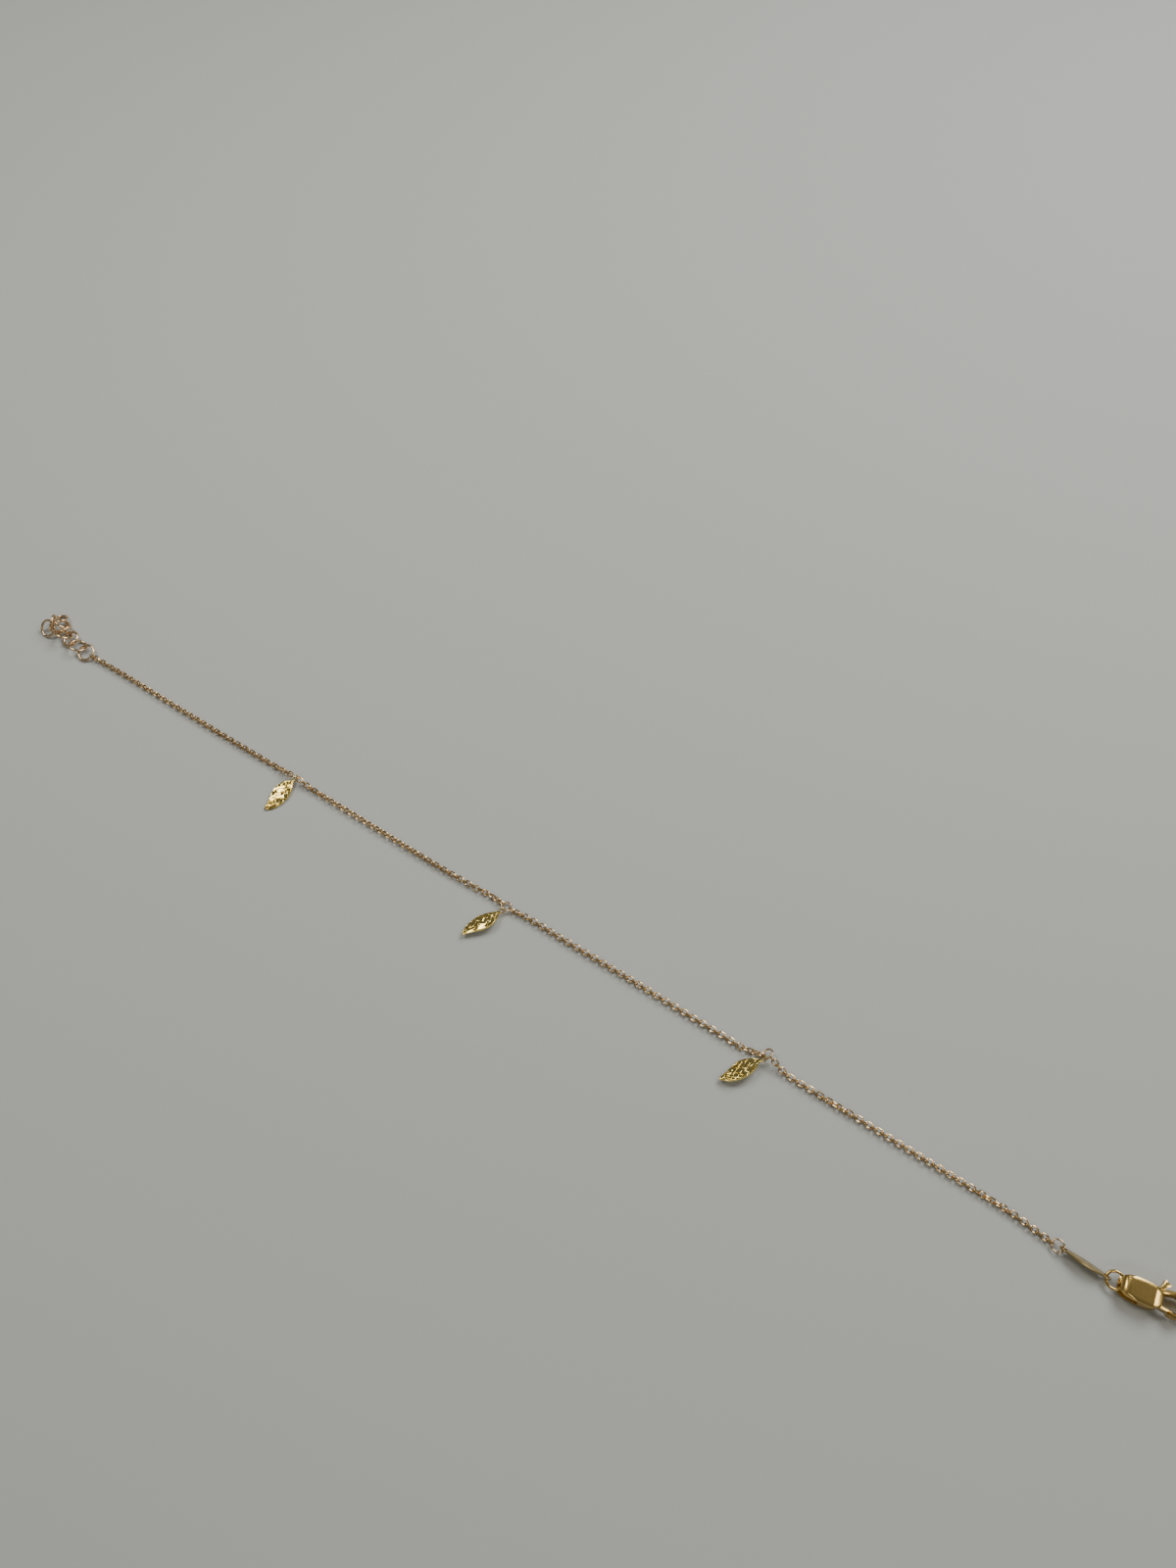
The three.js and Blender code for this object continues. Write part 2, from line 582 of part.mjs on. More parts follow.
function claspBody() {
  const slotEnd = SLOT_END * BODY_LENGTH;
  const reach = BODY_WIDTH;
  const slot = slab([[-CUT_PAST, -reach], [slotEnd, -reach], [slotEnd, reach], [-CUT_PAST, reach]],
    slotBottom, slotTop);
  const post = upright(TAIL_POST / 2, tailPostInset, 0, slotBottom - TAIL_POST_SUNK, slotTop + TAIL_POST_SUNK);
  const [wallStart, wallEnd] = [SPRING_WALL.start * BODY_LENGTH, SPRING_WALL.end * BODY_LENGTH];
  const [wallInside, wallOutside] = [SPRING_WALL.inside * BODY_WIDTH, BODY_WIDTH / 2 - DOME_REACH / 2];
  const wall = slab([[wallStart, wallInside], [wallEnd, wallInside], [wallEnd, wallOutside],
    [wallStart, wallOutside]], slotBottom - SPRING_WALL_SUNK, slotTop + SPRING_WALL_SUNK);
  const hole = upright(PIN_DIAMETER / 2 + PIN_CLEARANCE, pinPlace.x, pinPlace.y,
    -CUT_PAST, slotTop + PIN_BLIND_DEPTH + PIN_CLEARANCE);
  return geometryOf(cheekBlock().add(solid(hookArm())).subtract(solid(slot))
    .add(solid(post)).add(solid(wall)).subtract(solid(hole)));
}

// The lever: a root round the pin, a back flush with the cheeks' near edge, the gate and the tab.
function claspLever() {
  const root = solid(upright(LEVER_ROOT / 2, pinPlace.x, pinPlace.y, leverBottom, leverTop));
  const [backStart, backEnd] = [LEVER_BACK.start * BODY_LENGTH, LEVER_BACK.end * BODY_LENGTH];
  const backInside = pinPlace.y - LEVER_BACK.deep;
  const block = solid(slab([[backStart, -BODY_WIDTH], [backEnd, -BODY_WIDTH], [backEnd, backInside],
    [pinPlace.x, pinPlace.y], [backStart, backInside]], leverBottom, leverTop));
  const flush = solid(new THREE.ExtrudeGeometry(cheekOutline(),
    { depth: CLASP_THICKNESS, bevelEnabled: false, curveSegments: 8 }));
  const tip = hookPoint(GATE_SPLIT_ANGLE - gateGapAngle);
  const endWay = new THREE.Vector2(Math.cos(radians(GATE_SPLIT_ANGLE)), Math.sin(radians(GATE_SPLIT_ANGLE)));
  const half = GATE_WIDTH / 2;
  const start = { x: GATE_START.along * BODY_LENGTH, y: GATE_START.across * BODY_WIDTH };
  const gate = solid(slab([
    [start.x, start.y - half], [tip.x + half * endWay.x, tip.y + half * endWay.y],
    [tip.x - half * endWay.x, tip.y - half * endWay.y], [start.x, start.y + half],
  ], leverBottom, leverTop));
  const tabStart = new THREE.Vector2(TAB_START.along * BODY_LENGTH, TAB_START.across * BODY_WIDTH);
  const tabWay = new THREE.Vector2(Math.cos(radians(TAB_DIRECTION)), Math.sin(radians(TAB_DIRECTION)));
  const tabSide = new THREE.Vector2(tabWay.y, -tabWay.x);
  const tabCorner = (along, aside) =>
    tabStart.clone().addScaledVector(tabWay, along).addScaledVector(tabSide, aside).toArray();
  const [narrow, flare] = [TAB_WIDTH / 2, TAB_FLARE / 2];
  const waist = TAB_WAIST * TAB_LENGTH;
  const tab = solid(slab([
    [pinPlace.x - narrow, pinPlace.y], [pinPlace.x + narrow, pinPlace.y],
    tabCorner(0, narrow), tabCorner(waist, narrow), tabCorner(TAB_LENGTH, flare),
    tabCorner(TAB_LENGTH, -flare), tabCorner(waist, -narrow), tabCorner(0, -narrow),
  ], leverBottom, leverTop));
  const hole = solid(upright(PIN_DIAMETER / 2 + PIN_CLEARANCE, pinPlace.x, pinPlace.y, -1, CLASP_THICKNESS));
  return geometryOf(block.intersect(flush).add(root).add(gate).add(tab).subtract(hole));
}

function claspPin() {
  return upright(PIN_DIAMETER / 2, pinPlace.x, pinPlace.y, PIN_RECESS, slotTop + PIN_BLIND_DEPTH);
}

// Assembly

const laid = new THREE.Group();

extenderPoses.forEach((pose, index) => {
  laid.add(ringMesh(`extender_ring_${index + 1}`, extenderRing, pose));
});
chainRoutes.forEach((route, index) => {
  laid.add(chainStretch(`chain_${index + 1}`, route, chainEnds[index]));
});
leafRingPoses.forEach((pose, index) => {
  laid.add(ringMesh(`leaf_ring_${index + 1}`, jumpRing, pose));
  laid.add(leafMesh(`leaf_${index + 1}`, index));
});
laid.add(ringMesh('tag_ring', jumpRing, tagRingPose));
laid.add(ringMesh('clasp_ring', claspRing, claspRingPose));

const tag = named('tag', tagGeometry(), materials.tag);
tag.position.copy(tagStart);
tag.quaternion.copy(turned({ roll: -TAG_LEAN, heading: TAG_HEADING }));
laid.add(tag);

const clasp = new THREE.Group();
clasp.position.copy(claspPlace);
clasp.quaternion.copy(claspTurn);
clasp.add(named('clasp_body', claspBody(), materials.clasp));
clasp.add(named('clasp_lever', claspLever(), materials.clasp));
clasp.add(named('clasp_pin', claspPin(), materials.clasp));
laid.add(clasp);

laid.updateMatrixWorld(true);
const extent = new THREE.Box3().setFromObject(laid, true);
const middle = extent.getCenter(new THREE.Vector3());
laid.position.set(-middle.x, -middle.y, -extent.min.z);

const anklet = new THREE.Group();
anklet.add(laid);

export default anklet;
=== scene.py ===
# %% [markdown]
# # A fine gold anklet on a pale table
#
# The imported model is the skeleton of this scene. It holds every solid piece of the anklet where it
# really lies: the rings, the leaves, the tag and the clasp, and four plain ropes that stand for the
# fine chain. This lesson dresses it. It lays the real links along the ropes, gives each piece its
# fine form, and mixes the gold that each piece is made of. All lengths are metres, so a millimetre
# has a name of its own.

# %% Load the frame
import math

import bmesh
import bpy
from mathutils import Matrix, Vector


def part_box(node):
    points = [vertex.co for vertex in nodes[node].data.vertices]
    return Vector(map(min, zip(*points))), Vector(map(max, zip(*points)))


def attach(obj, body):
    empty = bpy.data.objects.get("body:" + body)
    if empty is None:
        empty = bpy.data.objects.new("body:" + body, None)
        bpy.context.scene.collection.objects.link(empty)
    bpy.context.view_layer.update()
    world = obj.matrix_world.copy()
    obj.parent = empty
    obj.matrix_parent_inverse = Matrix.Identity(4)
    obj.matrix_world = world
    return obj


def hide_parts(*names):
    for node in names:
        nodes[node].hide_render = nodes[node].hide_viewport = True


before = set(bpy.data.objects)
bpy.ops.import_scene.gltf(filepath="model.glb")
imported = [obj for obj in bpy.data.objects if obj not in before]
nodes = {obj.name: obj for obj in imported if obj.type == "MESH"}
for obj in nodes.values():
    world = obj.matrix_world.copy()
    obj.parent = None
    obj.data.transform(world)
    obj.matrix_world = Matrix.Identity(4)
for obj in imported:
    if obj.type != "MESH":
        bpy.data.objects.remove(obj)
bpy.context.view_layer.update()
scene = bpy.context.scene
MM = 0.001

# %% [markdown]
# ## Where the anklet lies
#
# The anklet was laid out along a line from its first chain link to its clasp, and then moved so that
# its origin is in the middle of its box. The second leaf's ring tells how far it was moved, because
# its place on the line is known. Every number below is counted along and across that line.

# %% The laying line
LEAF_RING_2 = Vector((103.65, 0.28))


def middle_of(node):
    low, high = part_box(node)
    return (low + high) / 2


SHIFT = middle_of("leaf_ring_2").xy / MM - LEAF_RING_2


def laid(along, across, height):
    """A point of the laying line, in millimetres, as a point of the scene."""
    return Vector((along + SHIFT.x, across + SHIFT.y, height)) * MM


print("shift of the laying line, mm:", tuple(round(v, 3) for v in SHIFT))

# %% [markdown]
# ## The camera
#
# The photograph looks down at the table from about twenty centimetres, over the clasp's end, with
# the wide lens of a telephone. The anklet runs from the lower right to the left edge and grows
# smaller on its way, and that is set by the camera's height and tilt alone. A wide lens stands for
# the photograph's perspective, and depth of field stays off.

# %% Place the camera
CAMERA_PLACE = (163.0, -64.0, 194.8)
CAMERA_HEADING = 32.89
CAMERA_DIP = 60.0
LENS = 26.55

camera_data = bpy.data.cameras.new("camera")
camera_data.lens = LENS
camera_data.sensor_width = 36.0
camera_data.clip_start = 0.01
camera_data.clip_end = 20.0
camera = bpy.data.objects.new("camera", camera_data)
scene.collection.objects.link(camera)
camera.location = laid(*CAMERA_PLACE)
camera.rotation_euler = (math.radians(90 - CAMERA_DIP), 0, math.radians(CAMERA_HEADING))
scene.camera = camera
print("camera at", tuple(round(v, 4) for v in camera.location))

# %% [markdown]
# ## The table and the light
#
# The table is a plain pale sheet. Gold is a mirror, so its look is mostly what stands round it: a
# wide soft window behind the anklet, a dim room that keeps its darks, and lamps that stand where the
# camera sees them mirrored in the first leaf, in the sloped head of the clasp and along its near edge.

# %% A pale table


def node_material(name):
    """A new material with its shader and a helper that adds nodes."""
    material = bpy.data.materials.new(name)
    material.use_nodes = True
    tree = material.node_tree
    shader = tree.nodes["Principled BSDF"]
    return material, tree, shader


def add_node(tree, kind, **values):
    node = tree.nodes.new(kind)
    for key, value in values.items():
        if key in node.inputs:
            node.inputs[key].default_value = value
        else:
            setattr(node, key, value)
    return node


TABLE_SIZE = 3.0
table_mesh = bmesh.new()
bmesh.ops.create_grid(table_mesh, x_segments=1, y_segments=1, size=TABLE_SIZE / 2)
table_data = bpy.data.meshes.new("table")
table_mesh.to_mesh(table_data)
table_mesh.free()
table = bpy.data.objects.new("table", table_data)
scene.collection.objects.link(table)

table_paint, tree, shader = node_material("pale table")
shader.inputs["Base Color"].default_value = (0.462, 0.472, 0.442, 1)
shader.inputs["Roughness"].default_value = 0.75
shader.inputs["Specular IOR Level"].default_value = 0.25
table_data.materials.append(table_paint)

# %% Lights
world = bpy.data.worlds.new("room")
world.use_nodes = True
world.node_tree.nodes["Background"].inputs["Color"].default_value = (0.88, 0.88, 0.86, 1)
world.node_tree.nodes["Background"].inputs["Strength"].default_value = 0.15
scene.world = world


def area_light(name, place, aim, size, power, color):
    data = bpy.data.lights.new(name, "AREA")
    data.shape = "DISK"
    data.size = size
    data.energy = power
    data.color = color
    light = bpy.data.objects.new(name, data)
    scene.collection.objects.link(light)
    light.location = place
    light.rotation_euler = (Vector(aim) - Vector(place)).to_track_quat("-Z", "Y").to_euler()
    return light


area_light("window", (0.08, 0.42, 0.45), (-0.02, 0.03, 0), 0.36, 2.6, (0.98, 0.99, 1.0))
area_light("lamp", (-0.32, 0.07, 0.47), (-0.05, 0, 0), 0.25, 1.15, (1.0, 0.97, 0.9))
area_light("strip", (0.74, 0.30, 0.73), (0.1, 0, 0), 0.26, 1.3, (1.0, 0.97, 0.9))
area_light("near glint", (0.30, -0.42, 0.50), (0.11, 0, 0), 0.10, 0.38, (1.0, 0.97, 0.9))

# %% [markdown]
# ## Gold
#
# All pieces are yellow gold, and each has its own finish. Polished wire is nearly a mirror, the
# diamond-cut leaf is a mirror broken into small faces, the tag is brushed satin, and the clasp is
# polished and lightly rubbed. The tag's and the clasp's golds are also darker than the rest, which is
# painted shade for the dim room that their faces mirror. Metal takes its colour from the base colour,
# and fine noise in the roughness and bump keeps it from looking like plastic.

# %% One gold for each finish, the tag's and the clasp's darkened as painted shade
DRIFT_SCALE = 900.0
RAMP_ENDS = (0.25, 0.75)
BUMP_DEPTH = 0.00002


def gold(name, color, darker, roughness, rough_change, grain, bump):
    """Gold with a slow drift of colour, a fine drift of roughness and a fine bump."""
    material, tree, shader = node_material(name)
    place = add_node(tree, "ShaderNodeTexCoord")
    drift = add_node(tree, "ShaderNodeTexNoise", Scale=DRIFT_SCALE, Detail=3.0, Roughness=0.6)
    tree.links.new(place.outputs["Object"], drift.inputs["Vector"])
    ramp = add_node(tree, "ShaderNodeValToRGB")
    ramp.color_ramp.elements[0].position = RAMP_ENDS[0]
    ramp.color_ramp.elements[1].position = RAMP_ENDS[1]
    ramp.color_ramp.elements[0].color = (*darker, 1)
    ramp.color_ramp.elements[1].color = (*color, 1)
    tree.links.new(drift.outputs["Fac"], ramp.inputs["Fac"])
    tree.links.new(ramp.outputs["Color"], shader.inputs["Base Color"])
    fine = add_node(tree, "ShaderNodeTexNoise", Scale=grain, Detail=4.0, Roughness=0.65)
    tree.links.new(place.outputs["Object"], fine.inputs["Vector"])
    rough = add_node(tree, "ShaderNodeMapRange")
    rough.inputs["To Min"].default_value = roughness - rough_change
    rough.inputs["To Max"].default_value = roughness + rough_change
    tree.links.new(fine.outputs["Fac"], rough.inputs["Value"])
    tree.links.new(rough.outputs["Result"], shader.inputs["Roughness"])
    wear = add_node(tree, "ShaderNodeBump", Strength=bump, Distance=BUMP_DEPTH)
    tree.links.new(fine.outputs["Fac"], wear.inputs["Height"])
    tree.links.new(wear.outputs["Normal"], shader.inputs["Normal"])
    shader.inputs["Metallic"].default_value = 1.0
    return material


chain_gold = gold("diamond-cut chain gold", (0.72, 0.51, 0.25), (0.54, 0.35, 0.15), 0.24, 0.06, 3000, 0.10)
wire_gold = gold("drawn wire gold", (0.82, 0.61, 0.38), (0.68, 0.47, 0.27), 0.18, 0.05, 2500, 0.08)
leaf_gold = gold("cut leaf gold", (0.92, 0.74, 0.25), (0.80, 0.60, 0.17), 0.12, 0.04, 2200, 0.08)
# The tag's gold is darker than the rest. The darker colour is painted shade for the dim room that its
# satin face mirrors. The roughness and grain are its real satin finish.
shaded_tag_gold = gold("satin tag gold with painted shade", (0.58, 0.45, 0.22), (0.46, 0.34, 0.15), 0.36, 0.08, 6000, 0.45)
# The clasp's gold is a darker, browner copy of the gold. The darker colour is painted shade for the dim
# room that its faces mirror.
shaded_clasp_gold = gold("polished clasp gold with painted shade", (0.70, 0.48, 0.16), (0.63, 0.42, 0.12), 0.21, 0.05, 9000, 0.14)

# %% A piece of the scene


def piece(name, bm, material, body="anklet", smooth=40.0):
    """Turns a finished bmesh into an object that rides on a body of the frame."""
    bmesh.ops.remove_doubles(bm, verts=bm.verts, dist=1e-8)
    bmesh.ops.recalc_face_normals(bm, faces=bm.faces)
    data = bpy.data.meshes.new(name)
    bm.to_mesh(data)
    bm.free()
    data.materials.append(material)
    made = bpy.data.objects.new(name, data)
    scene.collection.objects.link(made)
    if smooth:
        data.shade_smooth()
        data.set_sharp_from_angle(angle=math.radians(smooth))
    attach(made, body)
    print(name, len(data.polygons), "faces")
    return made


# %% [markdown]
# ## Rings
#
# A jump ring is a short length of round wire bent to a circle. In Blender that is a small circle
# spun once round an axis. The model's own rings have few sides, so finer ones take their places.
# Each lies as its model ring lies: first pitched about Y, then rolled about X, then turned about Z.

# %% Make the rings
EXTENDER = {"outer": 3.8, "wire": 0.5}
JUMP = {"outer": 2.28, "wire": 0.32}
HEAVY = {"outer": 3.1, "wire": 0.48}
RING_STEPS = 56
WIRE_STEPS = 12

EXTENDER_LEAN = [
    {"tilt": 16, "high": 90},
    {"tilt": 25, "high": -102},
    {"tilt": 20, "high": 62},
    {"tilt": 40, "high": -90},
    {"tilt": 40, "high": 0},
    {"tilt": 50, "high": -105},
    {"tilt": 30, "high": -45},
    {"tilt": 70, "high": 30},
    {"tilt": 40, "high": 90},
]
rings = {}
for number, lean in enumerate(EXTENDER_LEAN, 1):
    rings[f"extender_ring_{number}"] = {
        **EXTENDER, "pitch": -lean["tilt"], "roll": 0, "heading": lean["high"]}
rings["leaf_ring_1"] = {**JUMP, "pitch": 0, "roll": -70, "heading": 0}
rings["leaf_ring_2"] = {**JUMP, "pitch": 0, "roll": -14, "heading": 0}
rings["leaf_ring_3"] = {**JUMP, "pitch": -42, "roll": 0, "heading": 0}
rings["tag_ring"] = {**JUMP, "pitch": -13.6, "roll": 12, "heading": 0}
rings["clasp_ring"] = {**HEAVY, "pitch": -8.9, "roll": 15, "heading": 0}

print("rings:", len(rings))

# %% Spin the rings


def ring_turn(ring):
    """How a ring lies: pitch, then roll, then heading."""
    return (
        Matrix.Rotation(math.radians(ring["heading"]), 4, "Z")
        @ Matrix.Rotation(math.radians(ring["roll"]), 4, "X")
        @ Matrix.Rotation(math.radians(ring["pitch"]), 4, "Y")
    )


def spun_ring(bm, outer, wire, steps=RING_STEPS, wire_steps=WIRE_STEPS):
    """A ring of round wire in the plane XY. Sizes are in millimetres."""
    radius = (outer - wire) / 2 * MM
    stand = Matrix.Translation((radius, 0, 0)) @ Matrix.Rotation(math.pi / 2, 4, "X")
    section = bmesh.ops.create_circle(bm, segments=wire_steps, radius=wire / 2 * MM, matrix=stand)
    edges = list({edge for vert in section["verts"] for edge in vert.link_edges})
    bmesh.ops.spin(
        bm, geom=section["verts"] + edges, cent=(0, 0, 0), axis=(0, 0, 1),
        angle=2 * math.pi, steps=steps, use_merge=True)


for name, ring in rings.items():
    bm = bmesh.new()
    spun_ring(bm, ring["outer"], ring["wire"])
    bmesh.ops.transform(bm, matrix=Matrix.Translation(middle_of(name)) @ ring_turn(ring), verts=bm.verts)
    # The clasp ring takes the clasp's darker gold, which is painted shade.
    fine_ring = piece(f"{name}_fine", bm, shaded_clasp_gold if name == "clasp_ring" else wire_gold)
    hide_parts(name)

# %% [markdown]
# ## One link of the chain
#
# The chain is a cable chain of small oval links, each a quarter turn from the last. A diamond tool
# has cut its four sides flat, which gives the links bright flats. One link is a spun ring whose two
# halves are moved apart, so that it is an oval of even wire, and its outermost sides are pressed
# flat. It has few faces, because it is laid over two hundred times.

# %% Make a link
LINK_LENGTH = 1.57
LINK_WIDTH = 1.2
LINK_WIRE = 0.29
LINK_CUT = 0.05


def link_mesh():
    bm = bmesh.new()
    spun_ring(bm, LINK_WIDTH, LINK_WIRE, steps=14, wire_steps=6)
    apart = (LINK_LENGTH - LINK_WIDTH) / 2 * MM
    for way in (1, -1):
        half = [vert for vert in bm.verts if vert.co.x * way > 0]
        bmesh.ops.translate(bm, vec=(way * apart, 0, 0), verts=half)
    side = (LINK_WIDTH / 2 - LINK_CUT) * MM
    for vert in bm.verts:
        vert.co.y = max(-side, min(side, vert.co.y))
    return bm


# %% [markdown]
# ## Laying the chain
#
# Each stretch of chain runs between two rings. Its route is a smooth curve through a few points on
# the table, the same that the model's ropes follow, so the links replace the ropes where they lie.
# The first and last links stand across the wire of their ring, and between them the chain settles
# with its links leaning to both sides.

# %% Follow the routes
ROPE_HEIGHT = 0.64
LINK_PITCH = 0.92

chain_routes = {
    "chain_1": [(3, 0.1), (9, 0.2), (18, 0.18), (27, 0.16), (36, 0.15), (44, 0.23), (49, 0.34)],
    "chain_2": [(58, 0.22), (65, 0.2), (73, 0.19), (88, 0.17), (95, 0.33), (100, 0.56)],
    "chain_3": [(108, 0.56), (115, 0.58), (121, 0.63), (130, 0.7), (140, 0.67), (148, 0.68), (153, 0.75)],
    "chain_4": [
        (161, 0.7), (166, 0.6), (175, 0.57), (182, 0.55), (190, 0.53),
        (198, 0.5), (203, 0.33), (206.5, -0.05)],
}
chain_ends = {
    "chain_1": [("extender_ring_1", -90), ("leaf_ring_1", 153)],
    "chain_2": [("leaf_ring_1", 27), ("leaf_ring_2", 166)],
    "chain_3": [("leaf_ring_2", -4), ("leaf_ring_3", 205)],
    "chain_4": [("leaf_ring_3", -26), ("tag_ring", 180)],
}


def ring_hold(name, degrees):
    """The middle of a ring's wire at an angle round it, and the way the wire runs there."""
    ring = rings[name]
    radius = (ring["outer"] - ring["wire"]) / 2 * MM
    angle = math.radians(degrees)
    turn = ring_turn(ring)
    point = middle_of(name) + turn @ Vector((radius * math.cos(angle), radius * math.sin(angle), 0))
    return point, (turn @ Vector((-math.sin(angle), math.cos(angle), 0))).normalized()


def smooth_curve(points, per_span=60):
    """A centripetal Catmull-Rom curve through the points, as many short steps."""
    points = [2 * points[0] - points[1], *points, 2 * points[-1] - points[-2]]
    curve = []
    for a, b, c, d in zip(points, points[1:], points[2:], points[3:]):
        t1 = math.sqrt((b - a).length)
        t2 = t1 + math.sqrt((c - b).length)
        t3 = t2 + math.sqrt((d - c).length)
        for step in range(per_span):
            t = t1 + (t2 - t1) * step / per_span
            ab = a * (t1 - t) / t1 + b * t / t1
            bc = b * (t2 - t) / (t2 - t1) + c * (t - t1) / (t2 - t1)
            cd = c * (t3 - t) / (t3 - t2) + d * (t - t2) / (t3 - t2)
            abc = ab * (t2 - t) / t2 + bc * t / t2
            bcd = bc * (t3 - t) / (t3 - t1) + cd * (t - t1) / (t3 - t1)
            curve.append(abc * (t2 - t) / (t2 - t1) + bcd * (t - t1) / (t2 - t1))
    curve.append(points[-2].copy())
    return curve


def points_along(curve, count):
    """Equally spaced points along a curve, with the way it runs at each."""
    lengths = [0.0]
    for a, b in zip(curve, curve[1:]):
        lengths.append(lengths[-1] + (b - a).length)
    found, at = [], 0
    for number in range(count):
        wanted = lengths[-1] * number / (count - 1)
        while at < len(curve) - 2 and lengths[at + 1] < wanted:
            at += 1
        share = (wanted - lengths[at]) / (lengths[at + 1] - lengths[at])
        found.append((curve[at].lerp(curve[at + 1], share), (curve[at + 1] - curve[at]).normalized()))
    return found, lengths[-1]


# %% How the links lean
# How far the even links lean from lying flat, at distances along each stretch. The odd links
# stand a quarter turn from them.
chain_twists = {
    "chain_1": [(0, -12), (20, -20), (40, -8), (47, -14)],
    "chain_2": [(0, -10), (12, -22), (26, -18), (36, 0), (44, 35)],
    "chain_3": [(0, 20), (14, 24), (30, 26), (44, 20)],
    "chain_4": [(0, 24), (8, 26), (13, -18), (18, 24), (36, 26), (41, -14), (46, 20)],
}
# The links near a ring that turn towards it, how far the others sit to the side, and an end's play.
END_TWIST = 5
STAGGER = 0.04
END_PLAY = 0.03


def twist_at(table, distance):
    for (start, low), (end, high) in zip(table, table[1:]):
        if distance <= end:
            return low + (high - low) * (distance - start) / (end - start)
    return table[-1][1]


def lean_of(wire, way):
    """How far a link leans from lying flat when it stands across a ring's wire, in degrees."""
    flat = (Vector((0, 0, 1)) - way * way.z).normalized()
    across = (wire - way * wire.dot(way)).normalized()
    return math.degrees(math.atan2(flat.cross(across).dot(way), flat.dot(across)))


def nearest_lean(lean, wanted, turn):
    """The same lean of a link, counted in turns so that it is nearest the wanted one."""
    return lean + turn * round((wanted - lean) / turn)

# %% Lay the links


def lay_chain(name):
    (start_ring, start_angle), (end_ring, end_angle) = chain_ends[name]
    route = [laid(x, y, ROPE_HEIGHT) for x, y in chain_routes[name]]
    ends = []
    for ring_name, angle, near in ((start_ring, start_angle, route[0]), (end_ring, end_angle, route[-1])):
        hold, wire = ring_hold(ring_name, angle)
        slack = (LINK_LENGTH / 2 - LINK_WIRE - rings[ring_name]["wire"] / 2 - END_PLAY) * MM
        ends.append((hold + (near - hold).normalized() * slack, wire))
    curve = smooth_curve([ends[0][0], *route, ends[1][0]])
    _, length = points_along(curve, 2)
    count = round(length / (LINK_PITCH * MM)) + 1
    spots, _ = points_along(curve, count)
    last = count - 1
    table = chain_twists[name]
    # The first and last links stand across the wires of their rings.
    across_ring = lean_of(ends[0][1], spots[0][1])
    first = nearest_lean(across_ring, table[0][1], 90)
    shift = nearest_lean(across_ring, first, 180) - first
    final = nearest_lean(lean_of(ends[1][1], spots[-1][1]) - 90 * last - shift, table[-1][1], 180)
    one = link_mesh()
    pattern = bpy.data.meshes.new("link")
    one.to_mesh(pattern)
    one.free()
    chain = bmesh.new()
    for number, (spot, way) in enumerate(spots):
        lean = twist_at(table, length / MM * number / last)
        for end_lean, away in ((first, number), (final, last - number)):
            share = max(0.0, 1 - away / END_TWIST)
            lean = lean * (1 - share) + end_lean * share
        flat = (Vector((0, 0, 1)) - way * way.z).normalized()
        normal = Matrix.Rotation(math.radians(lean + shift + 90 * (number % 2)), 3, way) @ flat
        basis = Matrix((way, normal.cross(way), normal)).transposed().to_4x4()
        loose = min(1.0, min(number, last - number) / END_TWIST)
        beside = flat.cross(way) * (STAGGER * MM * loose * (1 if number % 2 else -1))
        before = len(chain.verts)
        chain.from_mesh(pattern)
        chain.verts.ensure_lookup_table()
        place = Matrix.Translation(spot + beside) @ basis
        bmesh.ops.transform(chain, matrix=place, verts=chain.verts[before:])
    bpy.data.meshes.remove(pattern)
    lowest = min(vert.co.z for vert in chain.verts) / MM
    pitch = length / MM / last
    print(name, count, "links, pitch", round(pitch, 3), "mm, lowest", round(lowest, 3), "mm")
    links = piece(f"{name}_links", chain, chain_gold, smooth=28.0)
    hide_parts(name)


for chain_name in chain_routes:
    lay_chain(chain_name)

# %% [markdown]
# ## Leaves
#
# Each leaf is a crowned gold plate whose face is cut into small raised diamonds. A grid is poked, so
# that each square gets a middle point, and then the grid's own lines are dissolved, which leaves a
# lattice of diamonds. Each diamond is inset and lifted, so it becomes a flat facet with sloping
# walls, and it is tipped a little, as a hand-cut facet is. That is why the leaf sparkles in spots.

# %% The leaf's plate
LEAF_LENGTH = 7.7
LEAF_WIDTH = 3.5
LEAF_THICKNESS = 0.36
LEAF_EYE = {"outer": 1.34, "wire": 0.25}
LEAF_STEM = {"length": 0.08, "width": 0.5}
FACET_ROWS = 7
FACET_COLUMNS = 4
FACET_DRIFT = 0.13
DRIFT_TURN = 2.4
TIP_TURN = 2.399
TIP_LEAST = 0.35
POINT_THICKNESS = 0.35

# Half widths as shares, on the leaf's full side and on its hollow side.
leaf_outline = [
    {"along": 0.00, "full": 0.10, "hollow": 0.10},
    {"along": 0.08, "full": 0.36, "hollow": 0.44},
    {"along": 0.20, "full": 0.70, "hollow": 0.80},
    {"along": 0.35, "full": 0.96, "hollow": 1.00},
    {"along": 0.50, "full": 1.04, "hollow": 0.93},
    {"along": 0.65, "full": 0.98, "hollow": 0.66},
    {"along": 0.80, "full": 0.78, "hollow": 0.36},
    {"along": 0.90, "full": 0.54, "hollow": 0.24},
    {"along": 1.00, "full": 0.10, "hollow": 0.06},
]

print("leaf:", LEAF_LENGTH, "by", LEAF_WIDTH, "mm")

# %% Cut the facets


def leaf_share(side, along):
    for low, high in zip(leaf_outline, leaf_outline[1:]):
        if along <= high["along"] + 1e-6:
            share = (along - low["along"]) / (high["along"] - low["along"])
            return low[side] + (high[side] - low[side]) * share
    return leaf_outline[-1][side]


